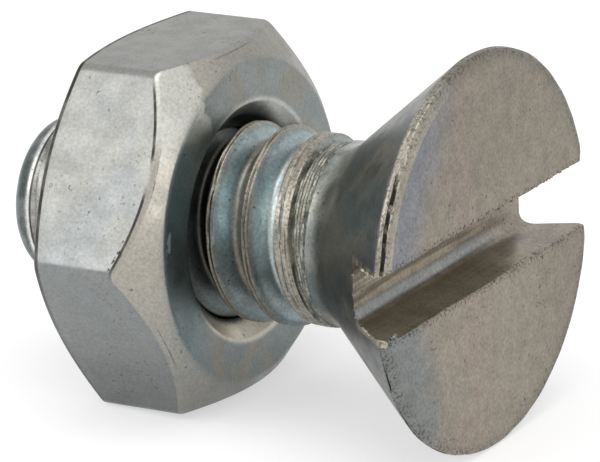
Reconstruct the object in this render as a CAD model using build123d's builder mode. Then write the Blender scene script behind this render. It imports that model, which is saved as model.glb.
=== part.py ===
"""Slotted flat head machine screw with its hexagon nut, lying as it comes to rest.

Millimetres, +Z up. The screw lies along X with its head at +X, propped on the rim of the head and on
one flat of the nut, so its axis climbs a little towards the head. Places along the screw are distances
behind the flat face of the head.
"""

from math import atan2, cos, degrees, radians, sin, tan
import os

from build123d import *

# Head: flat face, thin land at the rim, and the cone that sinks into a countersink
head_diameter = 12.46
head_land = 0.30
head_cone_angle = 79.0
head_face_round = 0.09
head_land_round = 0.07
head_neck_fillet = 0.62

# Driver slot across the head, its walls leaning out a little towards the face
slot_floor_width = 1.88
slot_depth = 1.78
slot_wall_lean = 3.6
slot_floor_round = 0.48
slot_lip_round = 0.11
slot_lip_rise = 15.0
slot_offset = 0.07

# Fold left in the land by the heading blow: a shallow open seam over part of the rim
seam_place = 0.13
seam_width = 0.10
seam_depth = 0.09
seam_start_angle = 50.0
seam_arc = 34.0

# Shank and its rolled thread, right-hand, with crests that fade into the neck and into the point
screw_length = 15.98
thread_diameter = 6.25
crest_above_neck = 0.235
thread_pitch = 1.27
thread_depth = 0.72
thread_crest_width = 0.16
thread_flank_angle = 30.0
thread_phase = 7.11
crest_rise_length = 2.22
root_fall_length = 1.47
point_taper_length = 4.60
point_taper_angle = 7.9
point_vanish_length = 1.90
point_vanish_angle = 10.0
point_diameter = 5.20
point_collar = 1.10
point_groove_fade = 0.70
point_round = 0.80
core_overlap = 0.012

# Hexagon nut, chamfered deeply on the side that faces the head
nut_across_flats = 11.11
nut_thickness = 4.52
nut_place = 8.41
nut_corner_round = 0.16
nut_front_chamfer_diameter = 10.06
nut_front_chamfer_angle = 38.7
nut_front_chamfer_round = 0.25
nut_back_chamfer_diameter = 10.30
nut_back_chamfer_angle = 26.0
nut_back_chamfer_round = 0.10
nut_countersink_diameter = 7.54
nut_countersink_angle = 90.0
nut_thread_clearance = 0.04

# Radii and places that follow from the sizes above
head_radius = head_diameter / 2
crest_radius = thread_diameter / 2
neck_radius = crest_radius - crest_above_neck
point_radius = point_diameter / 2
root_radius = crest_radius - thread_depth
core_radius = root_radius + core_overlap
cone_slope = tan(radians(head_cone_angle / 2))
flank_slope = tan(radians(thread_flank_angle))
cone_end = head_land + (head_radius - neck_radius) / cone_slope
neck_start = cone_end + head_neck_fillet * tan(radians(head_cone_angle / 4))
neck_end = neck_start + head_neck_fillet / 4
nut_flat_radius = nut_across_flats / 2
nut_corner_radius = nut_flat_radius / cos(radians(30))
nut_back = nut_place + nut_thickness
nut_bore_radius = crest_radius + nut_thread_clearance
nut_countersink_radius = nut_countersink_diameter / 2

# Resting attitude: the floor touches the lower edge of the head's land and the far end of a nut flat
back_chamfer_slope = tan(radians(nut_back_chamfer_angle))
flat_end = nut_back - (nut_flat_radius - nut_back_chamfer_diameter / 2) * back_chamfer_slope
rest_tilt = atan2(head_radius - nut_flat_radius, flat_end - head_land)
rise = head_land * sin(rest_tilt) + head_radius * cos(rest_tilt)
reach_back = (
    (screw_length - point_round) * cos(rest_tilt)
    + (point_radius - point_round) * sin(rest_tilt)
    + point_round
)
reach_front = (head_radius - head_face_round) * sin(rest_tilt) + head_face_round * (1 - cos(rest_tilt))

head_centre = Vector((reach_back - reach_front) / 2, 0, rise)
to_head = Vector(cos(rest_tilt), 0, sin(rest_tilt))
upward = Vector(-sin(rest_tilt), 0, cos(rest_tilt))
sideways = upward.cross(to_head)
screw_axis = Axis(head_centre, to_head)

# Drawing planes through the axis: x is the distance from it, y is minus the distance behind the face.
# The screw's own section lies a third of a turn past the place where its crest runs out into the neck
runout_angle = 360 * (thread_phase - neck_start) / thread_pitch
section_direction = upward.rotate(Axis((0, 0, 0), to_head), runout_angle + 120)
section_plane = Plane(origin=head_centre, x_dir=section_direction, z_dir=section_direction.cross(to_head))
slot_plane = Plane(origin=head_centre, x_dir=upward, z_dir=sideways)
seam_direction = upward.rotate(Axis((0, 0, 0), to_head), seam_start_angle)
seam_plane = Plane(origin=head_centre, x_dir=seam_direction, z_dir=seam_direction.cross(to_head))


def behind_face(distance):
    """Point on the axis at a distance behind the head's face."""
    return head_centre - to_head * distance


# Thread form: straight flanks that run into one full round at the root, drawn as two chords a side
half_pitch = thread_pitch / 2
half_crest = thread_crest_width / 2
flank_sine = sin(radians(thread_flank_angle))
flank_cosine = cos(radians(thread_flank_angle))
root_round = (half_pitch - half_crest - thread_depth * flank_slope) / (
    flank_cosine - (1 - flank_sine) * flank_slope
)
tangent_height = root_round * (1 - flank_sine)
tangent_width = half_crest + (thread_depth - tangent_height) * flank_slope
mid_turn = radians((90 - thread_flank_angle) / 2)
mid_width = half_pitch - root_round * sin(mid_turn)
mid_height = root_round * (1 - cos(mid_turn))
foot_gap = root_round / 7
foot_depth = thread_depth / 5
foot_width = half_pitch - foot_gap
foot_height = root_round - (root_round**2 - foot_gap**2) ** 0.5

# The helix starts beside the plane's own x direction, inside the point, on the phase of the crests
helix_plane = Plane(origin=head_centre, z_dir=to_head)
start_angle = degrees(
    atan2(helix_plane.x_dir.dot(to_head.cross(upward)), helix_plane.x_dir.dot(upward))
)
crest_at_start = thread_phase - thread_pitch * start_angle / 360
whole_turns = int((screw_length - point_round - crest_at_start) / thread_pitch)
helix_start = crest_at_start + whole_turns * thread_pitch
helix_turns = (helix_start - neck_start) / thread_pitch + 0.8
helix_length = helix_turns * thread_pitch
ridge_sections = int(helix_turns * 3)
lowest_crest = tangent_height * 1.3


def crest_height(place):
    """Height of the crest over the root at a place behind the face: it rises out of the neck, runs full,
    tapers along the point and drops below the core at the very end."""
    to_end = screw_length - place
    taper = max(point_taper_length - to_end, 0) * tan(radians(point_taper_angle))
    vanish = max(point_vanish_length - to_end, 0) * tan(radians(point_vanish_angle))
    share = max(neck_start + crest_rise_length - place, 0) / crest_rise_length
    rise_from_neck = share * (crest_radius - neck_radius + 2 * core_overlap)
    return thread_depth - taper - vanish - rise_from_neck


# Thread ridge: sections of changing height joined along one helix
with BuildPart() as thread_ridge:
    with BuildLine() as thread_path:
        Helix(
            pitch=thread_pitch,
            height=helix_length,
            radius=root_radius,
            center=behind_face(helix_start),
            direction=to_head,
        )
    for step in range(ridge_sections + 1):
        along = step / ridge_sections
        place = helix_start - along * helix_length
        on_path = thread_path.line @ along
        outward = (on_path - behind_face(place)).normalized()
        height = max(crest_height(place), lowest_crest)
        sink = height - crest_height(place)
        width = half_crest + (thread_depth - height) * flank_slope
        tangent = (tangent_height, tangent_width)
        middle = (mid_height, mid_width)
        foot = (foot_height, foot_width)
        with BuildSketch(
            Plane(on_path - outward * sink, x_dir=outward, z_dir=outward.cross(to_head))
        ):
            with BuildLine():
                Polyline(
                    (height, -width),
                    (height, width),
                    tangent,
                    middle,
                    foot,
                    (-foot_depth, foot_width),
                    (-foot_depth, -foot_width),
                    (foot[0], -foot[1]),
                    (middle[0], -middle[1]),
                    (tangent[0], -tangent[1]),
                    close=True,
                )
            make_face()
    sweep(path=thread_path.line, multisection=True, is_frenet=True)

# Screw: one revolved blank, the ridge on its core, the slot and the seam cut into the head
with BuildPart() as flat_head_screw:
    with BuildSketch(section_plane) as blank:
        with BuildLine():
            Polyline(
                (0, 0),
                (head_radius, 0),
                (head_radius, -head_land),
                (neck_radius, -cone_end),
                (neck_radius, -neck_end),
                (core_radius, -neck_end - root_fall_length),
                (core_radius, -screw_length + point_collar + point_groove_fade),
                (point_radius, -screw_length + point_collar),
                (point_radius, -screw_length),
                (0, -screw_length),
                close=True,
            )
        make_face()
        face_corner = blank.vertices().sort_by_distance((head_radius, 0))[0]
        fillet(face_corner, radius=head_face_round)
        land_corner = blank.vertices().sort_by_distance((head_radius, -head_land))[0]
        fillet(land_corner, radius=head_land_round)
        neck_corner = blank.vertices().sort_by_distance((neck_radius, -cone_end))[0]
        fillet(neck_corner, radius=head_neck_fillet)
        point_corner = blank.vertices().sort_by_distance((point_radius, -screw_length))[0]
        fillet(point_corner, radius=point_round)
    revolve(axis=screw_axis)
    add(thread_ridge.part)

    with BuildSketch(slot_plane) as slot_section:
        lean = tan(radians(slot_wall_lean))
        floor_half = slot_floor_width / 2
        mouth_half = floor_half + slot_depth * lean
        lip_rise = tan(radians(slot_lip_rise))
        with Locations((slot_offset, 0)):
            with BuildLine():
                Polyline(
                    (-mouth_half - slot_depth, slot_depth * lip_rise),
                    (-mouth_half, 0),
                    (-floor_half, -slot_depth),
                    (floor_half, -slot_depth),
                    (mouth_half, 0),
                    (mouth_half + slot_depth, slot_depth * lip_rise),
                    close=True,
                )
            make_face()
        floor_corners = slot_section.vertices().group_by(Axis.Y)[0]
        fillet(floor_corners, radius=slot_floor_round)
        lips = slot_section.vertices().filter_by_position(Axis.Y, -0.001, 0.001)
        fillet(lips, radius=slot_lip_round)
    extrude(amount=head_diameter, both=True, mode=Mode.SUBTRACT)

    with BuildSketch(seam_plane):
        with BuildLine():
            Polyline(
                (head_radius + seam_depth, -seam_place - seam_width),
                (head_radius - seam_depth, -seam_place),
                (head_radius + seam_depth, -seam_place + seam_width),
                close=True,
            )
        make_face()
    revolve(axis=screw_axis, revolution_arc=seam_arc, mode=Mode.SUBTRACT)

# Nut: hexagon bar with worn corners, chamfered front and back, bored and countersunk
with BuildPart() as hex_nut:
    with BuildSketch(Plane(behind_face(nut_place), x_dir=upward, z_dir=-to_head)) as hexagon:
        RegularPolygon(radius=nut_flat_radius, side_count=6, major_radius=False, rotation=30)
        fillet(hexagon.vertices(), radius=nut_corner_round)
    extrude(amount=nut_thickness)

    with BuildSketch(section_plane) as nut_outline:
        outer = nut_corner_radius * 1.1
        front_radius = nut_front_chamfer_diameter / 2
        back_radius = nut_back_chamfer_diameter / 2
        front_drop = (outer - front_radius) * tan(radians(nut_front_chamfer_angle))
        back_drop = (outer - back_radius) * back_chamfer_slope
        with BuildLine():
            Polyline(
                (0, -nut_place),
                (front_radius, -nut_place),
                (outer, -nut_place - front_drop),
                (outer, -nut_back + back_drop),
                (back_radius, -nut_back),
                (0, -nut_back),
                close=True,
            )
        make_face()
        front_edge = nut_outline.vertices().sort_by_distance((front_radius, -nut_place))[0]
        fillet(front_edge, radius=nut_front_chamfer_round)
        back_edge = nut_outline.vertices().sort_by_distance((back_radius, -nut_back))[0]
        fillet(back_edge, radius=nut_back_chamfer_round)
    revolve(axis=screw_axis, mode=Mode.INTERSECT)

    with BuildSketch(section_plane):
        past = nut_countersink_radius - nut_bore_radius
        sink_slope_nut = tan(radians(nut_countersink_angle / 2))
        sink_depth = (nut_countersink_radius - nut_bore_radius) / sink_slope_nut
        mouth = nut_countersink_radius + past * sink_slope_nut
        with BuildLine():
            Polyline(
                (0, -nut_place + past),
                (mouth, -nut_place + past),
                (nut_bore_radius, -nut_place - sink_depth),
                (nut_bore_radius, -nut_back + sink_depth),
                (mouth, -nut_back - past),
                (0, -nut_back - past),
                close=True,
            )
        make_face()
    revolve(axis=screw_axis, mode=Mode.SUBTRACT)

os.makedirs("parts", exist_ok=True)
flat_head_screw.part.label = "flat_head_screw"
hex_nut.part.label = "hex_nut"
export_step(flat_head_screw.part, "parts/flat_head_screw.step")
export_step(hex_nut.part, "parts/hex_nut.step")
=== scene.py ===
import math

import bmesh
import bpy
import numpy as np
from mathutils import Matrix, Quaternion, Vector


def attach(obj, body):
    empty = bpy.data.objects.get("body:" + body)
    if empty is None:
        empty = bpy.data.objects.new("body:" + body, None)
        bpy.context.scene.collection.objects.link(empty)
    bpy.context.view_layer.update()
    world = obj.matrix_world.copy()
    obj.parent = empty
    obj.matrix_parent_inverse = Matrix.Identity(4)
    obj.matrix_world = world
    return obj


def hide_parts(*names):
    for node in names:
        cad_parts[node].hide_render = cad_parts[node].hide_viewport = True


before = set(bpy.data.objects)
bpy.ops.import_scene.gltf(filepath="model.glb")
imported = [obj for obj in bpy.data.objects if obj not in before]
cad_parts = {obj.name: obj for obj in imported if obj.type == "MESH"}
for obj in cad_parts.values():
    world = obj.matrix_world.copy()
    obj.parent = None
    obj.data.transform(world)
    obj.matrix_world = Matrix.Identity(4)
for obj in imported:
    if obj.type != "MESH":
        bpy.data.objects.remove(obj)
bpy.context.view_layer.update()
scene = bpy.context.scene
scene.view_settings.view_transform = "Standard"

# Where the screw lies: the middle of the head's face, the way to the head and the upright beside it
head_centre = Vector((0.00786113, 0.0, 0.0062371))
to_head = Vector((0.99852932, 0.0, 0.05421410))
upright = Vector((-0.05421410, 0.0, 0.99852932))
sideways = upright.cross(to_head)
rest_tilt = math.atan2(to_head.z, to_head.x)
rest_place = Matrix.Translation(head_centre) @ Matrix((to_head, sideways, upright)).transposed().to_4x4()

# Head and neck in millimetres; a place is a distance behind the head's face
head_radius = 6.23
head_land = 0.30
cone_half_angle = math.radians(39.5)
cone_slope = math.tan(cone_half_angle)
neck_radius = 2.89
neck_fillet = 0.62
neck_sweep = 1.3
cone_end = head_land + (head_radius - neck_radius) / cone_slope
neck_start = cone_end + neck_fillet * math.tan(cone_half_angle / 2)
neck_end = neck_start + neck_fillet / 4
sweep_start = cone_end + neck_sweep * math.tan(cone_half_angle / 2)

# Thread
crest_radius = 3.125
root_radius = 2.405
core_radius = 2.417
thread_depth = 0.72
half_crest = 0.08
pitch = 1.27
phase = 7.11
tan_flank = math.tan(math.radians(30))
root_round = 0.24129
tangent_height = root_round / 2
lowest_crest = tangent_height * 1.3
foot_away = half_crest + (thread_depth - tangent_height) * tan_flank
run_out_reach = 2.22
run_out_drop = crest_radius - neck_radius + 0.024
core_reach = 1.47
roll_line = pitch / 11

# Point, where the thread tapers twice before the end
screw_length = 15.978
point_radius = 2.60
point_round = 0.80
collar_start = 14.88
collar_rise = 0.70
taper_reach = 4.60
taper_slope = math.tan(math.radians(7.9))
vanish_reach = 1.90
vanish_slope = math.tan(math.radians(10.0))

# Slot
slot_floor_half = 0.94
slot_floor_round = 0.48
slot_depth = 1.78
slot_offset = 0.07
slot_lean = math.tan(math.radians(3.6))
mouth_half = slot_floor_half + slot_depth * slot_lean
lip = 0.085

# Nut
nut_front = 8.41
nut_back = 12.93
nut_flat_radius = 5.555
nut_front_radius = 5.03
nut_back_radius = 5.15
nut_countersink_radius = 3.77
nut_bore_radius = 3.165
nut_corner_round = 0.42
front_lean = math.radians(38.7)
front_slope = math.tan(front_lean)
back_lean = math.radians(26.0)
back_slope = math.tan(back_lean)

smooth_below = 38


def ripple(turn, place, seed, scale=1.0):
    """Smooth wandering between about -1 and 1 over the turn and the place along the screw."""
    draw = np.random.default_rng(seed)
    total = np.zeros(np.broadcast(turn, place).shape)
    for _ in range(9):
        waves = draw.integers(1, 14)
        stretch = draw.uniform(-2.0, 2.0) * scale
        total += np.sin(waves * scale * turn + stretch * place + draw.uniform(0, 6.283)) / 3.5
    return total


def soft_min(first, second, reach):
    """Lesser of two values, rounded where they cross."""
    share = np.clip(0.5 + 0.5 * (second - first) / reach, 0, 1)
    return second + (first - second) * share - reach * share * (1 - share)


def soft_max(first, second, reach):
    """Greater of two values, rounded where they cross."""
    return -soft_min(-first, -second, reach)


def hump(value, width):
    """1 at zero, falling smoothly to nothing within about twice the width."""
    return np.exp(-((value / width) ** 2))


def from_crest(turn, place):
    """Distance along the axis from the nearest thread crest."""
    along = place + pitch * turn / (2 * math.pi) - phase
    return (along + pitch / 2) % pitch - pitch / 2


def crest_height(place):
    """Height of the crest over the root, less toward the neck and toward the point."""
    to_end = screw_length - place
    taper = np.maximum(taper_reach - to_end, 0) * taper_slope
    vanish = np.maximum(vanish_reach - to_end, 0) * vanish_slope
    rise = np.maximum(neck_start + run_out_reach - place, 0) / run_out_reach * run_out_drop
    return thread_depth - taper - vanish - rise


def blank_radius(place):
    """Radius of the screw without its thread, behind the head's land."""
    cone = head_radius - (place - head_land) * cone_slope
    inside = np.clip(neck_sweep**2 - (sweep_start - place) ** 2, 0, None)
    bend = neck_radius + neck_sweep - np.sqrt(inside)
    bend_from = sweep_start - neck_sweep * math.sin(cone_half_angle)
    fall = neck_radius - (place - neck_end) * (neck_radius - core_radius) / core_reach
    shallow = neck_radius - 0.02 - (place - sweep_start) * 0.09 - np.maximum(place - 5.36, 0) * 1.3
    shank = np.maximum(np.maximum(fall, shallow), core_radius)
    radius = np.where(place < sweep_start, np.where(place < bend_from, cone, bend), shank)
    collar = core_radius + (place - collar_start + collar_rise) / collar_rise * (point_radius - core_radius)
    radius = np.maximum(radius, np.minimum(collar, point_radius))
    into_point = np.clip(place - (screw_length - point_round), 0, point_round)
    rounded = point_radius - point_round + np.sqrt(np.clip(point_round**2 - into_point**2, 0, None))
    return np.where(into_point > 0, rounded, radius)


def thread_radius(turn, place):
    """Radius of the finished screw anywhere on its shank: blank, ridge and the fold along the crest."""
    # Thread form: a flank that ends in the root's round, cut off softly at the crest
    offset = from_crest(turn, place)
    away = np.abs(offset)
    wanted = crest_height(place - offset)
    height = np.maximum(wanted, lowest_crest)
    to_neck = np.clip((6.5 - (place - offset)) / 1.0, 0, 1)
    half = 0.105 + 0.12 * to_neck
    flank = thread_depth - (away - half) * (thread_depth - tangent_height) / (foot_away - half)
    low = np.clip(root_round**2 - (pitch / 2 - away) ** 2, 0, None)
    form = np.where(flank < tangent_height, root_round - np.sqrt(low), flank)
    fade = np.maximum(place - 14.9, 0) * 2.0
    ridge = soft_min(form, height + 0 * form, 0.05) - (height - wanted) - fade
    # Wear and the fold that rolling leaves along the crest
    crest_wear = 0.012 * ripple(turn, place, 3, 2.0)
    lap_shift = 0.022 * ripple(turn, place, 11) + 0.08 * to_neck
    lap = hump(offset - lap_shift, 0.028) * (0.055 + 0.02 * ripple(turn, place, 5))
    on_ridge = np.clip((ridge - 0.25) / 0.2, 0, 1)
    ridge = ridge - on_ridge * (lap + np.maximum(crest_wear, 0) * (away < 0.15))
    radius = soft_max(root_radius + ridge, blank_radius(place), 0.03) - 0.0075
    # Lines of the roller on the run-out, and the crease where it starts
    on_runout = np.clip((place - 4.87) / 0.05, 0, 1) * np.clip((5.5 - place) / 0.15, 0, 1)
    lines = np.sin(2 * math.pi * (place + pitch * turn / (2 * math.pi)) / roll_line)
    roughened = (0.6 + 0.4 * ripple(turn, place, 8, 2.0)) * 0.017
    crease_place = 4.86 + 0.02 * np.sin(3 * turn + 1)
    crease = hump(place - crease_place, 0.03) * (0.06 + 0.02 * np.sin(2 * turn))
    return radius + on_runout * lines * roughened - crease


def nut_thread_radius(turn, place):
    """Radius of the nut's bore: ridges that fill the screw's grooves, opening into both countersinks."""
    away = np.abs(from_crest(turn, place))
    groove = crest_radius + 0.07 - (away - 0.13) / tan_flank
    bore = np.clip(groove, 2.58, nut_bore_radius)
    front = nut_countersink_radius - (place - nut_front)
    back = nut_countersink_radius - (nut_back - place)
    return np.maximum(bore, np.maximum(front, back))


def thread_rows(start, end):
    """Row places at turn zero that follow the thread, and how many rows make one pitch."""
    side = [0.012, 0.026, 0.042, 0.06, 0.08, 0.105] + [0.13 + 0.03 * k for k in range(17)]
    offsets = sorted([0.0] + side + [-x for x in side] + [pitch / 2])
    first = math.floor((start - phase) / pitch) - 1
    rows = []
    for turn_number in range(first, first + math.ceil((end - start) / pitch) + 5):
        rows += [phase + turn_number * pitch + x for x in offsets]
    rows = [x for x in rows if start - 1e-9 <= x <= end + pitch + 0.1]
    return np.array([start] + rows), len(offsets)


def helical_block(turns, start, end, radius_of):
    """Places, radii and turns of rows that follow the thread between two rings, and the rows in one pitch."""
    rows, per_pitch = thread_rows(start, end)
    place = np.clip(rows[:, None] - pitch * turns[None, :] / (2 * math.pi), start, end)
    turn = np.broadcast_to(turns[None, :], place.shape)
    return place, radius_of(turn, place), turn, per_pitch


def to_points(place, radius, turn):
    """Points from places along the screw, radii and turns from the upright toward its side."""
    return np.stack([-place, -radius * np.sin(turn), radius * np.cos(turn)], axis=-1).reshape(-1, 3)


def grid_faces(rows, columns, base, shift):
    """Faces of a closed grid whose last column joins the first one so many rows lower."""
    faces = []
    for i in range(rows - 1):
        for j in range(columns):
            k = (j + 1) % columns
            low = i if k else max(i - shift, 0)
            high = i + 1 if k else max(i + 1 - shift, 0)
            faces.append((base + i * columns + j, base + low * columns + k,
                          base + high * columns + k, base + (i + 1) * columns + j))
    return faces


def finish_mesh(name, points, faces, sharp=smooth_below):
    """Object at the rest place from points in millimetres."""
    mesh = bpy.data.meshes.new(name)
    mesh.from_pydata([tuple(p) for p in points * 0.001], [], faces)
    work = bmesh.new()
    work.from_mesh(mesh)
    bmesh.ops.remove_doubles(work, verts=work.verts, dist=2e-9)
    bmesh.ops.recalc_face_normals(work, faces=work.faces)
    work.to_mesh(mesh)
    work.free()
    mesh.shade_smooth()
    mesh.set_sharp_from_angle(angle=math.radians(sharp))
    made = bpy.data.objects.new(name, mesh)
    mesh.transform(rest_place)
    scene.collection.objects.link(made)
    return made


def bend_points(before, corner, after, steps):
    """Points of a soft corner, from one side to the other."""
    before, corner, after = np.array(before), np.array(corner), np.array(after)
    return [tuple((1 - t) ** 2 * before + 2 * t * (1 - t) * corner + t * t * after)
            for t in np.linspace(0, 1, steps)]


def arc_share(start, rise, end, fall):
    """1 over an arc of the head's rim, in degrees, rising after its start and falling before its end."""
    return np.clip((degrees - start) / rise, 0, 1) * np.clip((end - degrees) / fall, 0, 1)


# Screw: head rings, the shank on a grid that follows the thread, and the point
columns = 160
turns = np.arange(columns) * 2 * math.pi / columns
degrees = np.degrees(turns)
left_share = arc_share(20, 55, 100, 8)
left_share = left_share * left_share * (3 - 2 * left_share)
fold_share = arc_share(44, 10, 86, 5)
worn_share = arc_share(92, 8, 200, 40)
rim_band = 0.13 + 0.33 * left_share + 0.012 * np.sin(turns * 17) + 0.010 * np.sin(turns * 31 + 1)
rim_band = rim_band + 0.16 * worn_share
fold_middle = 0.05 + (0.012 * np.sin(turns * 23) + 0.008 * np.sin(turns * 41 + 2))
head_rings = [(0.0 * turns, r + 0 * turns) for r in (0.001, 0.9, 1.8, 2.7, 3.6, 4.5, 5.2, 5.5)]

# Rim: share of the band inward or distance along the land, place behind the face, and outward from the band
rim_line = [
    (-1.0, 0.0, 0.0), (-0.8, 0.001, 0.0), (-0.6, 0.004, 0.0), (-0.45, 0.008, 0.0), (-0.3, 0.014, 0.0),
    (-0.2, 0.02, 0.0), (-0.1, 0.03, 0.0), (0.0, 0.045, 0.0), (0.012, 0.055, 0.022), (0.026, 0.068, 0.036),
    (0.042, 0.08, 0.044), (0.06, 0.1, 0.05), (0.078, 0.117, 0.05), (0.096, 0.134, 0.05),
    (0.114, 0.15, 0.05), (0.13, 0.168, 0.05), (0.15, 0.188, 0.05), (0.18, 0.215, 0.05), (0.21, 0.24, 0.05),
]
for along, place, outward in rim_line:
    inward = rim_band * -min(along, 0)
    drop = place + 0.03 * (1 + min(along, 0)) * worn_share
    distance = np.where(along < 0, -inward, along)
    fold = hump(distance - fold_middle, 0.062) * 0.12 * fold_share
    on_rim = distance > -0.2
    lost = 0.016 * np.clip(0.5 + ripple(turns, 4 * distance, 21, 3.0), 0, 1) * on_rim
    lost = lost + 0.03 * worn_share * np.clip(ripple(turns, 6 * distance, 33, 4.0), 0, 1) * on_rim
    head_rings.append((drop + 0.6 * fold, head_radius - 0.05 + outward - inward - fold - lost))
land_soft = 0.04
land_end = (head_land - land_soft, head_radius)
cone_begin = (head_land + land_soft * math.cos(cone_half_angle),
              head_radius - land_soft * math.sin(cone_half_angle))
for place, radius in bend_points(land_end, (head_land, head_radius), cone_begin, 5):
    head_rings.append((place + 0.012 * np.sin(turns * 19), radius + 0 * turns))
shank_start = 3.95
for place in np.linspace(0.55, shank_start, 14)[:-1]:
    head_rings.append((place + 0 * turns, blank_radius(np.array(place)) + 0 * turns))
ring_place = np.array([p for p, _ in head_rings])
ring_radius = np.array([r for _, r in head_rings])

# Eased corners where the slot leaves the head on the right
slot_edges = (260.3, 279.7)
lower_corner = np.clip(1 - (slot_edges[0] - degrees) / 4, 0, 1) * (degrees <= 270)
upper_corner = np.clip(1 - (degrees - slot_edges[1]) / 6, 0, 1) * (degrees > 270)
eased = 0.30 * upper_corner**2 + 0.16 * lower_corner**2
ring_radius = ring_radius - eased[None, :] * np.clip((ring_radius - 5.3) / (head_radius - 5.3), 0, 1)
ring_turn = np.broadcast_to(turns[None, :], ring_place.shape)

shank_end = 15.25
place, radius, turn, per_pitch = helical_block(turns, shank_start, shank_end, thread_radius)
point_places = screw_length - point_round + point_round * np.sin(np.linspace(0.05, math.pi / 2, 10))
tip_place = np.concatenate([point_places, np.full(3, screw_length)])[:, None] + 0 * turns[None, :]
tip_radius = np.concatenate([blank_radius(point_places), [1.2, 0.6, 0.001]])[:, None] + 0 * turns[None, :]
tip_turn = np.broadcast_to(turns[None, :], tip_place.shape)
points = np.vstack([
    to_points(ring_place, ring_radius, ring_turn),
    to_points(place, radius, turn),
    to_points(tip_place, tip_radius, tip_turn),
])
head_rows = len(head_rings)
shank_rows = len(place)
tip_rows = len(tip_place)
faces = grid_faces(head_rows, columns, 0, 0)
faces += grid_faces(shank_rows, columns, head_rows * columns, per_pitch)
faces += grid_faces(tip_rows, columns, (head_rows + shank_rows) * columns, 0)
for low_row in (head_rows - 1, head_rows + shank_rows - 1):
    low, high = low_row * columns, (low_row + 1) * columns
    for j in range(columns):
        k = (j + 1) % columns
        faces.append((low + j, low + k, high + k, high + j))
faces.append(tuple(range(columns)))
last = (head_rows + shank_rows + tip_rows - 1) * columns
faces.append(tuple(range(last, last + columns)))
screw_skin = finish_mesh("screw_skin", points, faces)


def slot_side(sign, widen):
    """One side of the slot's section from above the face down to the floor, as x and z."""
    def wall(depth):
        return mouth_half - depth * slot_lean + widen

    top = [(0.5, wall(0) + lip + 0.5 * 0.4)]
    mouth = bend_points((0.004, wall(0) + lip), (0.0, wall(0)), (-lip, wall(lip)), 6)
    floor = bend_points((-slot_depth + slot_floor_round, wall(slot_depth - slot_floor_round)),
                        (-slot_depth, wall(slot_depth)),
                        (-slot_depth, wall(slot_depth) - slot_floor_round), 9)
    return [(x, sign * z) for x, z in top + mouth + floor]


# Slot cutter: the section carried across the head, its lips wandering and the lower one pulled in at the left
cut_points = []
stations = np.linspace(-6.6, 6.6, 111)
for y in stations:
    end_share = min(max((-4.6 - y) / 1.6, 0), 1)
    upper = slot_side(1, 0.012 * math.sin(1.7 * y) + 0.006 * math.sin(3.9 * y + 1))
    lower = slot_side(-1, 0.012 * math.sin(1.3 * y + 2) + 0.006 * math.sin(3.3 * y) - 0.16 * end_share**2)
    section = upper + lower[::-1]
    cut_points += [(x, y, z + slot_offset) for x, z in section]
around = len(section)
cut_faces = grid_faces(len(stations), around, 0, 0)
cut_faces.append(tuple(range(around)))
cut_faces.append(tuple(range((len(stations) - 1) * around, len(stations) * around)))
cutter = finish_mesh("slot_cutter", np.array(cut_points), cut_faces)
cut = screw_skin.modifiers.new("slot", "BOOLEAN")
cut.operation = "DIFFERENCE"
cut.solver = "EXACT"
cut.object = cutter
bpy.context.view_layer.update()
slotted = bpy.data.meshes.new_from_object(screw_skin.evaluated_get(bpy.context.evaluated_depsgraph_get()))
screw_skin.modifiers.clear()
screw_skin.data = slotted
bpy.data.objects.remove(cutter)


def burr(mesh, middle, sizes, draw):
    """One lump of raised metal, half sunk in the surface; middle and sizes in the screw's millimetres."""
    made = bmesh.ops.create_icosphere(mesh, subdivisions=1, radius=1.0)
    for vertex in made["verts"]:
        swell = 1 + draw.uniform(-0.35, 0.35)
        spot = Vector([m + c * size * swell for m, c, size in zip(middle, vertex.co, sizes)])
        vertex.co = rest_place @ (spot * 0.001)


# Burrs that the slotting saw left: along both lips, at the lower left corner and at the right end
burr_draw = np.random.default_rng(14)
burr_mesh = bmesh.new()
burr_mesh.from_mesh(screw_skin.data)
for side_sign, gap, share in ((1, 0.10, 0.7), (-1, 0.22, 0.45)):
    y = -6.0
    while y < 5.5:
        length = burr_draw.uniform(0.03, 0.11)
        if burr_draw.uniform() < share:
            lift = burr_draw.uniform(0.012, 0.028)
            z = slot_offset + side_sign * (mouth_half + lip * burr_draw.uniform(0.2, 1.1))
            burr(burr_mesh, (-0.004, y, z), (lift, length, burr_draw.uniform(0.02, 0.04)), burr_draw)
        y += length + burr_draw.uniform(0.0, gap)
for _ in range(22):
    y = burr_draw.uniform(-6.05, -5.55)
    z = slot_offset - mouth_half - burr_draw.uniform(-0.1, 0.16) + 0.1
    burr(burr_mesh, (-0.02 + burr_draw.uniform(-0.02, 0.02), y, z), (0.05, 0.05, 0.045), burr_draw)
for _ in range(40):
    depth = burr_draw.uniform(0.45, 1.7)
    side_sign = burr_draw.choice([-1, 1])
    if depth < 1.35:
        z = side_sign * (mouth_half - 0.02 - depth * slot_lean)
    else:
        z = burr_draw.uniform(-0.8, 0.8)
        depth = slot_depth - 0.02
    reach = math.sqrt((head_radius - max(depth - head_land, 0) * cone_slope) ** 2 - z**2)
    burr(burr_mesh, (-depth, -reach, z + slot_offset), (0.05, 0.03, 0.03), burr_draw)
burr_mesh.to_mesh(screw_skin.data)
burr_mesh.free()
screw_skin.data.shade_smooth()
screw_skin.data.set_sharp_from_angle(angle=math.radians(smooth_below))


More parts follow.
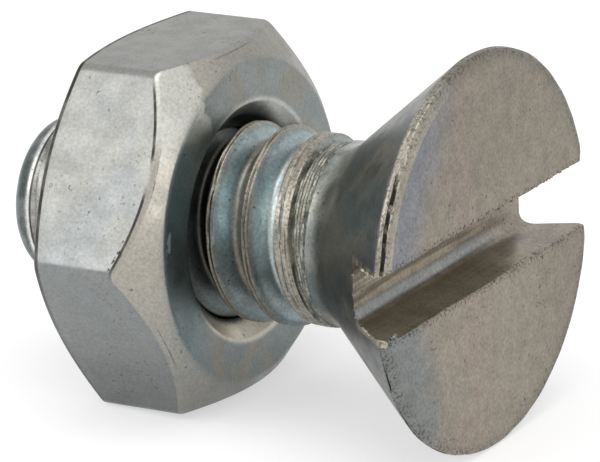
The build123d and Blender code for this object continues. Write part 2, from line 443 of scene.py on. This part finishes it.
def nut_line(reach):
    """Places and radii from the front countersink around to the back one, at one reach of the hexagon."""
    front_edge = nut_front + (reach - nut_front_radius) * front_slope
    back_edge = nut_back - (reach - nut_back_radius) * back_slope
    front_sin, front_cos = math.sin(front_lean), math.cos(front_lean)
    back_sin, back_cos = math.sin(back_lean), math.cos(back_lean)
    line = bend_points((nut_front + 0.05, nut_countersink_radius - 0.05), (nut_front, nut_countersink_radius),
                       (nut_front, nut_countersink_radius + 0.05), 4)
    line += [(nut_front, 4.1), (nut_front, 4.5), (nut_front, 4.8)]
    line += bend_points((nut_front, nut_front_radius - 0.1), (nut_front, nut_front_radius),
                        (nut_front + 0.1 * front_sin, nut_front_radius + 0.1 * front_cos), 6)
    for share in (0.25, 0.45, 0.65, 0.82):
        line.append((nut_front + (front_edge - nut_front) * share,
                     nut_front_radius + (reach - nut_front_radius) * share))
    ease = 0.15
    line += bend_points((front_edge - ease * front_sin, reach - ease * front_cos),
                        (front_edge, reach), (front_edge + ease, reach), 5)
    for share in (0.12, 0.3, 0.5, 0.7, 0.88):
        line.append((front_edge + (back_edge - front_edge) * share, reach))
    ease = 0.04
    line += bend_points((back_edge - ease, reach), (back_edge, reach),
                        (back_edge + ease * back_sin, reach - ease * back_cos), 4)
    for share in (0.25, 0.5, 0.75):
        line.append((back_edge + (nut_back - back_edge) * share, reach - (reach - nut_back_radius) * share))
    line += bend_points((nut_back - ease * back_sin, nut_back_radius + ease * back_cos),
                        (nut_back, nut_back_radius), (nut_back, nut_back_radius - ease), 4)
    line += [(nut_back, 4.6), (nut_back, 4.1)]
    line += bend_points((nut_back, nut_countersink_radius + ease), (nut_back, nut_countersink_radius),
                        (nut_back - ease, nut_countersink_radius - ease), 4)
    return line


# Nut: columns over the outside, closer at the soft corners, and rows that follow the thread through the bore
near_corner = (0.4, 0.75, 1.1, 1.4, 1.7, 2.0, 2.3)
angles = list(np.arange(0, 360, 2.0))
for corner in (30, 90, 150, 210, 270, 330):
    angles += [corner + x for x in near_corner] + [corner - x for x in near_corner]
angles = np.array(sorted(set(round(a, 4) for a in angles)))
nut_turns = np.radians(angles)
from_flat = np.radians(np.abs((angles + 30) % 60 - 30))
from_corner = math.radians(30) - from_flat
corner_flat = nut_flat_radius - nut_corner_round
corner_centre = corner_flat / math.cos(math.radians(30))
rounded_from = math.radians(30) - math.atan(corner_flat * math.tan(math.radians(30)) / nut_flat_radius)
flat_reach = nut_flat_radius / np.cos(from_flat)
arc_reach = corner_centre * np.cos(from_corner) + np.sqrt(
    np.clip(nut_corner_round**2 - (corner_centre * np.sin(from_corner)) ** 2, 0, None))
hexagon_reach = np.where(from_corner > rounded_from, flat_reach, arc_reach)
outside = np.array([nut_line(reach) for reach in hexagon_reach]).transpose(1, 0, 2)
out_turn = np.broadcast_to(nut_turns[None, :], outside.shape[:2])
bore_place, bore_radius, bore_turn, per_pitch = helical_block(
    nut_turns, nut_front + 0.05, nut_back - 0.04, nut_thread_radius)
points = np.vstack([
    to_points(outside[:, :, 0], outside[:, :, 1], out_turn),
    to_points(bore_place, bore_radius, bore_turn),
])
nut_columns = len(nut_turns)
faces = grid_faces(len(outside), nut_columns, 0, 0)
faces += grid_faces(len(bore_place), nut_columns, len(outside) * nut_columns, per_pitch)
nut_skin = finish_mesh("nut_skin", points, faces, sharp=30)


class Paint:
    """Shader nodes of one material, with places given in millimetres along and across the screw."""

    def __init__(self, name):
        self.material = bpy.data.materials.new(name)
        self.material.use_nodes = True
        self.tree = self.material.node_tree
        self.shader = self.tree.nodes["Principled BSDF"]
        coordinates = self.node("ShaderNodeTexCoord")
        local = self.node("ShaderNodeMapping")
        local.vector_type = "TEXTURE"
        local.inputs["Location"].default_value = head_centre
        local.inputs["Rotation"].default_value = (0, -rest_tilt, 0)
        local.inputs["Scale"].default_value = (0.001, 0.001, 0.001)
        self.join(coordinates.outputs["Object"], local.inputs["Vector"])
        self.local = local.outputs["Vector"]
        parts = self.node("ShaderNodeSeparateXYZ")
        self.join(self.local, parts.inputs[0])
        self.place = self.every(parts.outputs[0], -1)
        self.across = parts.outputs[1]
        self.up = parts.outputs[2]
        squares = self.add(self.every(self.across, self.across), self.every(self.up, self.up))
        self.radius = self.math("SQRT", squares, 0)

    def node(self, kind):
        return self.tree.nodes.new(kind)

    def join(self, source, target):
        self.tree.links.new(source, target)

    def put(self, value, target):
        """Joins an output, or writes a number, to a socket."""
        if hasattr(value, "is_linked"):
            self.join(value, target)
        else:
            target.default_value = value

    def math(self, operation, first, second, clamp=False):
        made = self.node("ShaderNodeMath")
        made.operation = operation
        made.use_clamp = clamp
        self.put(first, made.inputs[0])
        self.put(second, made.inputs[1])
        return made.outputs[0]

    def add(self, first, second):
        return self.math("ADD", first, second)

    def take(self, first, second):
        """First less second."""
        return self.math("SUBTRACT", first, second)

    def every(self, *factors):
        """Product of several factors."""
        product = factors[0]
        for factor in factors[1:]:
            product = self.math("MULTIPLY", product, factor)
        return product

    def most(self, *values):
        """Largest of several values."""
        largest = values[0]
        for value in values[1:]:
            largest = self.math("MAXIMUM", largest, value)
        return largest

    def ramp(self, value, start, end, start_value=0.0, end_value=1.0):
        """Smooth change from one value at the start to another at the end, which may lie below the start."""
        made = self.node("ShaderNodeMapRange")
        made.interpolation_type = "SMOOTHSTEP"
        self.put(value, made.inputs["Value"])
        if start > end:
            start, end, start_value, end_value = end, start, end_value, start_value
        made.inputs["From Min"].default_value = start
        made.inputs["From Max"].default_value = end
        made.inputs["To Min"].default_value = start_value
        made.inputs["To Max"].default_value = end_value
        return made.outputs["Result"]

    def band(self, value, low, high, edge):
        """1 between low and high, falling to 0 over the edge outside them."""
        return self.every(self.ramp(value, low - edge, low), self.ramp(value, high + edge, high))

    def noise(self, scale, detail=3.0, stretch=(1, 1, 1), seed=0.0, distortion=0.0):
        mapping = self.node("ShaderNodeMapping")
        mapping.inputs["Location"].default_value = (seed * 3.7, seed * 1.9, seed * 5.3)
        mapping.inputs["Scale"].default_value = stretch
        self.join(self.local, mapping.inputs["Vector"])
        made = self.node("ShaderNodeTexNoise")
        made.inputs["Scale"].default_value = scale
        made.inputs["Detail"].default_value = detail
        made.inputs["Distortion"].default_value = distortion
        self.join(mapping.outputs[0], made.inputs["Vector"])
        return made.outputs["Fac"]

    def mix(self, share, first, second, kind="MIX"):
        made = self.node("ShaderNodeMix")
        made.data_type = "RGBA"
        made.blend_type = kind
        self.put(share, made.inputs["Factor"])
        for value, target in ((first, made.inputs[6]), (second, made.inputs[7])):
            if hasattr(value, "is_linked"):
                self.join(value, target)
            else:
                target.default_value = (*value, 1)
        return made.outputs[2]

    def shade(self, colour, factor):
        """The colour times a factor."""
        grey = self.node("ShaderNodeCombineColor")
        for channel in range(3):
            self.join(factor, grey.inputs[channel])
        return self.mix(1.0, colour, grey.outputs[0], "MULTIPLY")


def finish_zinc(paint, colour, pit_share, cloud, grain, specks, dull):
    """Adds clouds, grain, pits and specks to a colour, and joins it, roughness, bump and dull places."""
    every = paint.every
    colour = paint.shade(colour, paint.ramp(paint.noise(2.2, 6.0, seed=4), 0.28, 0.72, 1 - cloud, 1 + cloud))
    grain_noise = paint.noise(11.0, 4.0, seed=9)
    colour = paint.shade(colour, paint.ramp(grain_noise, 0.25, 0.75, 1 - grain, 1 + 0.9 * grain))
    pit_place = paint.ramp(paint.noise(8.0, 2.0, seed=13), 0.66, 0.71)
    pit_zone = paint.ramp(paint.noise(0.55, 2.0, seed=17), 0.42, 0.62)
    pits = every(paint.math("MULTIPLY", pit_place, pit_zone, True), pit_share)
    speckled = every(paint.ramp(paint.noise(10.0, 3.0, seed=41), 0.53, 0.60), specks)
    pits = paint.most(pits, every(speckled, 0.6))
    colour = paint.mix(pits, colour, (0.055, 0.05, 0.04))
    rough = paint.ramp(paint.noise(1.2, 4.0, seed=23), 0.3, 0.7, 0.30, 0.42)
    inputs = paint.shader.inputs
    paint.join(colour, inputs["Base Color"])
    paint.join(paint.add(rough, every(pits, 0.25)), inputs["Roughness"])
    paint.join(paint.take(1.0, dull), inputs["Metallic"])
    paint.join(paint.take(0.5, every(dull, 0.5)), inputs["Specular IOR Level"])
    bump = paint.node("ShaderNodeBump")
    bump.inputs["Strength"].default_value = 0.25
    bump.inputs["Distance"].default_value = 0.00001
    height = paint.take(every(paint.noise(7.0, 5.0, seed=31), 0.6), every(pits, 0.8))
    paint.join(height, bump.inputs["Height"])
    paint.join(bump.outputs[0], inputs["Normal"])


def face_colour(paint, tint):
    """Head's face: warm, with a pink fringe, blue toward the left, darker in a ring at the rim, and painted
    shade toward the top and at the lower right.
    """
    every = paint.every
    to_left = paint.take(every(paint.take(tint, 0.5), 5.0), paint.across)
    pink_share = every(paint.band(to_left, 0.6, 1.6, 0.8), 0.5)
    colour = paint.mix(pink_share, (0.262, 0.230, 0.186), (0.275, 0.225, 0.195))
    blue = paint.mix(paint.ramp(paint.up, -1.6, 0.4), (0.178, 0.190, 0.184), (0.215, 0.220, 0.236))
    narrower_below = paint.add(to_left, paint.ramp(paint.up, -1.5, 0.5, 0.0, 1.5))
    blue_share = every(paint.ramp(to_left, 1.2, 4.2), paint.ramp(paint.radius, 3.4, 5.2),
                       paint.ramp(narrower_below, 1.6, 3.6))
    colour = paint.mix(blue_share, colour, blue)
    outer_ring = every(paint.ramp(paint.radius, 5.6, 6.1),
                       paint.ramp(paint.across, -4.0, 2.0, 0.3, 1.0), 0.45)
    colour = paint.mix(outer_ring, colour, (0.15, 0.15, 0.125))
    # Painted shade: the face lighter toward the bottom and darker toward the top
    colour = paint.shade(colour, paint.ramp(paint.up, -4.5, 4.5, 1.09, 0.93))
    # Painted shade at the lower right of the face
    low_right_shade = every(paint.ramp(paint.across, 1.0, 4.5), paint.ramp(paint.up, 0.5, -1.0), 0.15)
    return paint.mix(low_right_shade, colour, (0.0, 0.0, 0.0))


def cone_colour(paint):
    """Cone: stains drawn out along the screw in dark colours that are partly a painted dark reflection,
    painted shade below, and a neck with painted light.
    """
    stains = paint.noise(0.8, 3.0, stretch=(0.35, 1, 1), seed=8, distortion=0.4)
    # The stains' dark colours are partly a painted dark reflection
    colour = paint.mix(paint.ramp(stains, 0.36, 0.64), (0.112, 0.137, 0.138), (0.20, 0.188, 0.162))
    # Painted shade: the cone darker on its underside
    colour = paint.shade(colour, paint.ramp(paint.up, -3.0, -0.8, 0.58, 1.0))
    # Painted light: the neck lighter toward the top, in patches
    neck = paint.mix(paint.ramp(paint.up, 0.8, 2.4), (0.27, 0.285, 0.27), (0.40, 0.41, 0.375))
    patches = paint.ramp(paint.noise(0.9, 3.0, seed=61), 0.35, 0.65, 0.25, 0.9)
    lit_neck_share = paint.every(paint.band(paint.place, 3.9, 5.0, 0.5), patches,
                             paint.ramp(paint.up, -1.0, 0.6, 0.1, 1.0))
    return paint.mix(lit_neck_share, colour, neck)


def slot_colour(paint):
    """Slot: drag marks, a blue band in the lower corner, painted light on the lower wall and a browner right
    end.
    """
    every = paint.every
    drag = paint.noise(5.0, 3.0, stretch=(1, 0.05, 1), seed=19)
    colour = paint.mix(paint.ramp(drag, 0.4, 0.6), (0.19, 0.165, 0.13), (0.40, 0.355, 0.285))
    corner_band = every(paint.band(paint.up, slot_offset - 0.86, slot_offset - 0.5, 0.08),
                        paint.ramp(paint.place, 1.35, 1.5), 0.8)
    colour = paint.mix(corner_band, colour, (0.235, 0.25, 0.255))
    # Painted light: the lower wall lighter, as if lit
    lit_low_wall = every(paint.ramp(paint.up, slot_offset - 0.86, slot_offset - 0.92), 0.8)
    colour = paint.mix(lit_low_wall, colour, (0.42, 0.385, 0.305))
    return paint.mix(paint.ramp(paint.across, 1.5, 4.0), colour, (0.27, 0.235, 0.195))


def thread_colour(paint, tint):
    """Flanks: blue-grey, a painted highlight half way up, painted light in the run-out's groove, painted
    shade above and below.
    """
    every = paint.every
    colour = paint.mix(paint.ramp(tint, 0.3, 0.65), (0.36, 0.47, 0.50), (0.42, 0.46, 0.44))
    patches = paint.ramp(paint.noise(0.5, 2.0, seed=53), 0.35, 0.6)
    # Painted highlight half way up the flanks, in patches
    mid_flank_highlight = every(paint.band(paint.radius, 2.66, 2.86, 0.13), patches, 0.8)
    colour = paint.mix(mid_flank_highlight, colour, (0.56, 0.67, 0.69))
    below_crest = paint.ramp(paint.radius, 2.98, 2.8)
    # Painted light in the groove by the run-out
    groove_painted_light = every(paint.band(paint.place, 6.2, 6.45, 0.2), below_crest, 0.8)
    colour = paint.mix(groove_painted_light, colour, (0.85, 0.97, 0.98))
    groove_side = every(paint.band(paint.place, 5.8, 6.0, 0.12), below_crest, 0.7)
    colour = paint.mix(groove_side, colour, (0.30, 0.34, 0.33))
    # Painted shade: the thread darker toward the bottom, and again toward the top
    colour = paint.shade(colour, paint.ramp(paint.up, 0.9, -0.9, 1.0, 0.45))
    return paint.shade(colour, paint.ramp(paint.up, 1.4, 2.8, 1.0, 0.62))


def tip_colour(paint, colour):
    """Tip: mottled side, a painted dark line of shade and a painted highlight ring where the point's round
    begins, and a darker point.
    """
    mottle = paint.ramp(paint.noise(1.6, 3.0, seed=37), 0.4, 0.6)
    side = paint.mix(mottle, (0.20, 0.195, 0.18), (0.34, 0.34, 0.325))
    colour = paint.mix(paint.ramp(paint.place, 14.4, 14.7), colour, side)
    point = paint.mix(mottle, (0.09, 0.105, 0.105), (0.165, 0.18, 0.18))
    point = paint.mix(paint.ramp(paint.radius, 2.1, 1.6), point, (0.19, 0.19, 0.175))
    colour = paint.mix(paint.ramp(paint.place, 15.22, 15.34), colour, point)
    # Painted highlight: a bright ring where the point's round begins
    colour = paint.mix(paint.band(paint.place, 15.14, 15.22, 0.03), colour, (0.66, 0.67, 0.65))
    # Painted shade: a dark line just before the ring
    return paint.mix(paint.band(paint.place, 15.05, 15.09, 0.025), colour, (0.07, 0.07, 0.065))


def screw_zinc():
    """Plating of the screw."""
    paint = Paint("screw_zinc")
    every = paint.every
    tint = paint.noise(0.33, 3.0, seed=2, distortion=0.6)
    colour = paint.mix(paint.ramp(paint.place, 0.3, 0.5), face_colour(paint, tint), cone_colour(paint))
    from_middle = paint.math("ABSOLUTE", paint.take(paint.up, slot_offset), 0)
    in_slot = every(paint.ramp(from_middle, 1.16, 1.12), paint.ramp(paint.place, 0.02, 0.05),
                    paint.ramp(paint.place, slot_depth + 0.08, slot_depth + 0.04))
    colour = paint.mix(in_slot, colour, slot_colour(paint))

    # Thread: flanks, the run-out's roller marks, roots and crests with painted shade, and painted shade on
    # the stretch under the nut
    on_thread = paint.ramp(paint.place, 4.82, 4.9)
    colour = paint.mix(on_thread, colour, thread_colour(paint, tint))
    run_out = every(on_thread, paint.ramp(paint.place, 5.6, 5.45))
    roll_marks = paint.ramp(paint.noise(3.0, 3.0, stretch=(5.0, 0.5, 0.5), seed=27), 0.4, 0.6)
    colour = paint.mix(run_out, colour, paint.mix(roll_marks, (0.15, 0.16, 0.14), (0.36, 0.35, 0.30)))
    # Painted shade in the thread's roots, dark brown away from the neck
    root = every(paint.ramp(paint.radius, 2.62, 2.44), on_thread, 0.8)
    root_shade_colour = paint.mix(paint.ramp(paint.place, 6.4, 6.9), (0.30, 0.335, 0.325), (0.15, 0.125, 0.095))
    colour = paint.mix(root, colour, root_shade_colour)
    near_crest = every(paint.ramp(paint.radius, 2.92, 2.97), on_thread, paint.ramp(paint.place, 6.4, 6.0))
    far_crest = every(paint.ramp(paint.radius, 3.03, 3.09), paint.ramp(paint.place, 6.0, 6.4))
    crest = paint.most(far_crest, near_crest)
    # Painted shade: the crests past the run-out darker, except toward the top
    crest_shade = every(paint.ramp(paint.place, 5.9, 6.4), paint.ramp(paint.up, 2.1, 1.2))
    colour = paint.mix(crest, colour, paint.mix(crest_shade, (0.31, 0.285, 0.235), (0.17, 0.162, 0.135)))
    # Painted shade inside the nut: the thread under it near black, less at the bottom and further in
    shade_under_nut = every(paint.band(paint.place, 8.6, 12.6, 0.3), paint.ramp(paint.up, -2.7, -1.3, 0.3, 0.85),
                      paint.ramp(paint.place, 9.2, 10.0, 1.0, 0.35))
    colour = paint.mix(shade_under_nut, colour, (0.05, 0.05, 0.045))
    colour = tip_colour(paint, colour)

    # Rim of the head: the bright worn band on the left, with the fold in it painted dark as shade
    upper = paint.ramp(paint.up, 0.3, 0.9)
    on_left = paint.ramp(paint.across, -1.0, -3.6)
    rim = every(paint.ramp(paint.radius, 5.72, 5.80), paint.ramp(paint.place, 0.40, 0.34),
                on_left, upper, 0.85)
    colour = paint.mix(rim, colour, (0.34, 0.315, 0.255))
    # Painted shade: the fold near black, with gaps
    fold_gaps = paint.ramp(paint.noise(3.0, 3.0, seed=67), 0.40, 0.50, 0.25, 1.0)
    fold_shade = every(paint.band(paint.radius, 5.95, 6.125, 0.02), paint.band(paint.place, 0.075, 0.20, 0.015),
                    upper, fold_gaps)
    colour = paint.mix(fold_shade, colour, (0.03, 0.03, 0.025))

    worn_rim = every(paint.ramp(paint.radius, 5.85, 6.1), paint.ramp(paint.place, 0.55, 0.4), 0.9)
    lips = every(paint.band(from_middle, 1.04, 1.22, 0.05), paint.ramp(paint.place, 0.25, 0.1))
    specks = paint.most(worn_rim, lips, every(crest, 0.6), every(run_out, 0.7))
    low_cone = every(paint.ramp(paint.up, -1.2, -2.6), paint.ramp(paint.place, 0.45, 0.7),
                     paint.ramp(paint.place, 4.4, 3.8))
    dull = paint.most(every(fold_shade, 0.8), every(low_cone, 0.4))
    finish_zinc(paint, colour, pit_share=0.9, cloud=0.09, grain=0.20, specks=specks, dull=dull)
    return paint.material


def nut_zinc():
    """Plating of the nut."""
    paint = Paint("nut_zinc")
    every = paint.every
    warm = paint.add(paint.noise(0.3, 3.0, seed=6, distortion=0.5), every(paint.up, 0.02))
    colour = paint.mix(paint.ramp(warm, 0.38, 0.66), (0.240, 0.251, 0.250), (0.258, 0.257, 0.240))
    # Painted shade: the lower flats about a quarter darker
    colour = paint.shade(colour, paint.ramp(paint.up, -5.2, -2.2, 0.74, 1.0))

    # Front chamfer, told by the distance from its cone, with painted light: lighter toward the left, fading
    # toward the bottom
    cone_place = paint.add(every(paint.radius, front_slope), nut_front - nut_front_radius * front_slope)
    off_cone = paint.take(paint.place, cone_place)
    chamfer = every(paint.band(off_cone, -0.03, 0.05, 0.05), paint.ramp(paint.radius, 4.9, 5.3),
                    paint.ramp(paint.up, -4.5, 0.5, 0.35, 1.0))
    chamfer_lit_colour = paint.mix(paint.ramp(paint.across, -2.4, 0.5),
                               (0.385, 0.365, 0.318), (0.285, 0.277, 0.25))
    colour = paint.mix(chamfer, colour, chamfer_lit_colour)

    # Dark lines: a crack and a nick along the left flat's front edge, and the shade at its back edge
    on_left_flat = paint.ramp(paint.across, -3.0, -3.4)
    ragged = paint.ramp(paint.noise(0.9, 4.0, seed=43), 0.36, 0.56, 0.45, 1.0)
    crack = every(paint.band(off_cone, 0.09, 0.14, 0.035), paint.ramp(paint.radius, 5.55, 5.6), ragged,
                  on_left_flat, paint.band(paint.up, 0.3, 5.0, 0.5))
    nick = every(paint.band(off_cone, 0.09, 0.22, 0.05), paint.band(paint.up, 0.25, 0.95, 0.15),
                 on_left_flat, paint.ramp(paint.noise(4.0, 2.0, seed=57), 0.45, 0.55))
    crack = paint.most(crack, nick)
    colour = paint.mix(every(crack, 0.9), colour, (0.04, 0.036, 0.03))
    back_place = paint.add(paint.place, every(paint.radius, back_slope))
    back_cone = nut_back + nut_back_radius * back_slope
    uneven = paint.ramp(paint.noise(1.3, 3.0, seed=71), 0.35, 0.55, 0.7, 1.0)
    back_line = every(paint.band(back_place, back_cone - 0.12, back_cone - 0.04, 0.03),
                      paint.ramp(paint.radius, 5.5, 5.54),
                      paint.ramp(paint.up, -2.6, 1.5, 0.35, 0.95), uneven)
    colour = paint.mix(back_line, colour, (0.035, 0.03, 0.025))

    # Bearing face: blue on the left, warm patches elsewhere; a painted highlight over it and the chamfer
    bearing = every(paint.ramp(paint.place, nut_front + 0.05, nut_front + 0.02),
                    paint.ramp(paint.radius, 3.7, 3.8))
    blue_share = every(bearing, paint.ramp(paint.across, -2.8, -3.8, 0.35, 0.9))
    colour = paint.mix(blue_share, colour, (0.20, 0.25, 0.255))
    warm_share = every(bearing, paint.ramp(paint.noise(0.7, 3.0, seed=47), 0.47, 0.6),
                       paint.ramp(paint.across, -3.6, -2.6), 0.6)
    colour = paint.mix(warm_share, colour, (0.255, 0.235, 0.19))
    # Painted highlight at the upper left of the bearing face and the chamfer
    highlight_patch_edge = every(paint.take(paint.noise(1.1, 4.0, seed=73), 0.5), 2.4)
    highlight_patch_face = paint.most(chamfer, every(bearing, paint.ramp(paint.up, 3.2, 3.7)))
    highlight_patch = every(paint.ramp(paint.add(paint.across, highlight_patch_edge), -1.9, -2.2), highlight_patch_face, 0.9,
                  paint.ramp(paint.up, 2.8, 4.2), paint.take(1.0, crack))
    colour = paint.mix(highlight_patch, colour, (0.56, 0.56, 0.52))

    # Countersink and bore: painted light at the bottom and the top, painted shade inside
    # Painted light at the bottom of the countersink, teal above
    bore_colour = paint.mix(paint.ramp(paint.up, -2.6, -1.6), (0.6, 0.56, 0.47), (0.17, 0.235, 0.25))
    bore_top_light = every(paint.ramp(paint.up, 1.9, 2.6), paint.ramp(paint.across, -2.1, -1.2))
    bore_colour = paint.mix(bore_top_light, bore_colour, (0.58, 0.58, 0.54))
    colour = paint.mix(paint.ramp(paint.radius, 3.95, 3.7), colour, bore_colour)
    # Painted shade: the bore near black
    colour = paint.mix(paint.ramp(paint.radius, 3.4, 3.2), colour, (0.05, 0.06, 0.06))
    dull = every(paint.most(crack, back_line), 0.9)
    finish_zinc(paint, colour, pit_share=0.7, cloud=0.03, grain=0.13, specks=every(chamfer, 0.12), dull=dull)
    return paint.material


screw_skin.data.materials.append(screw_zinc())
nut_skin.data.materials.append(nut_zinc())
for skin, body, node, slot in (
        (screw_skin, "screw", "flat_head_screw", "screw_zinc"),
        (nut_skin, "nut", "hex_nut", "nut_zinc")):
    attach(skin, body)
    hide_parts(node)


def seen_share(tree):
    """1 for what the camera or a reflection sees, 0 for what only lights a dull surface."""
    path = tree.nodes.new("ShaderNodeLightPath")
    seen = path.outputs["Is Camera Ray"]
    for other in ("Is Glossy Ray", "Is Transmission Ray"):
        both = tree.nodes.new("ShaderNodeMath")
        both.operation = "MAXIMUM"
        tree.links.new(seen, both.inputs[0])
        tree.links.new(path.outputs[other], both.inputs[1])
        seen = both.outputs[0]
    return seen


def seen_strength(tree, seen, hidden_value, seen_value):
    """Strength that differs between what is seen and what only lights."""
    reach = tree.nodes.new("ShaderNodeMapRange")
    tree.links.new(seen, reach.inputs["Value"])
    reach.inputs["To Min"].default_value = hidden_value
    reach.inputs["To Max"].default_value = seen_value
    return reach.outputs["Result"]


# Floor, backdrop, lamps and camera
bpy.ops.mesh.primitive_plane_add(size=0.9, location=(0, 0, 0))
floor = bpy.context.active_object
floor.name = "floor"
floor_paint = bpy.data.materials.new("floor_white")
floor_paint.use_nodes = True
floor_tree = floor_paint.node_tree
floor_shader = floor_tree.nodes["Principled BSDF"]
floor_shader.inputs["Base Color"].default_value = (0.6, 0.6, 0.6, 1)
floor_shader.inputs["Roughness"].default_value = 0.9
floor_shader.inputs["Specular IOR Level"].default_value = 0.0
floor_shader.inputs["Emission Color"].default_value = (1, 1, 1, 1)
floor_glow = seen_strength(floor_tree, seen_share(floor_tree), 0.0, 0.55)
floor_tree.links.new(floor_glow, floor_shader.inputs["Emission Strength"])
floor.data.materials.append(floor_paint)

world = bpy.data.worlds.new("studio")
scene.world = world
world.use_nodes = True
world_tree = world.node_tree
background = world_tree.nodes["Background"]
background.inputs["Color"].default_value = (1, 1, 1, 1)
world_glow = seen_strength(world_tree, seen_share(world_tree), 0.6, 1.0)
world_tree.links.new(world_glow, background.inputs["Strength"])


def lamp(name, place, aim, width, height, power):
    data = bpy.data.lights.new(name, "AREA")
    data.shape = "RECTANGLE"
    data.size = width
    data.size_y = height
    data.energy = power
    made = bpy.data.objects.new(name, data)
    made.location = place
    made.rotation_euler = (Vector(aim) - Vector(place)).to_track_quat("-Z", "Y").to_euler()
    scene.collection.objects.link(made)


lamp("left_box", (-0.09, -0.13, 0.11), (0, 0, 0.006), 0.12, 0.12, 0.085)
lamp("right_box", (0.15, -0.035, 0.055), (0, 0, 0.008), 0.08, 0.07, 0.035)
lamp("top_box", (0.02, -0.02, 0.16), (0, 0, 0.006), 0.12, 0.12, 0.07)

camera_data = bpy.data.cameras.new("camera")
camera = bpy.data.objects.new("camera", camera_data)
scene.collection.objects.link(camera)
camera_data.sensor_width = 36
camera_data.lens = 307.493
camera_data.clip_start = 0.01
camera_data.clip_end = 5
camera.location = (0.079643, -0.12666146, 0.05957982)
camera.rotation_mode = "QUATERNION"
camera.rotation_quaternion = Quaternion((0.78868241, 0.55147905, 0.16094001, 0.21897311))
scene.camera = camera
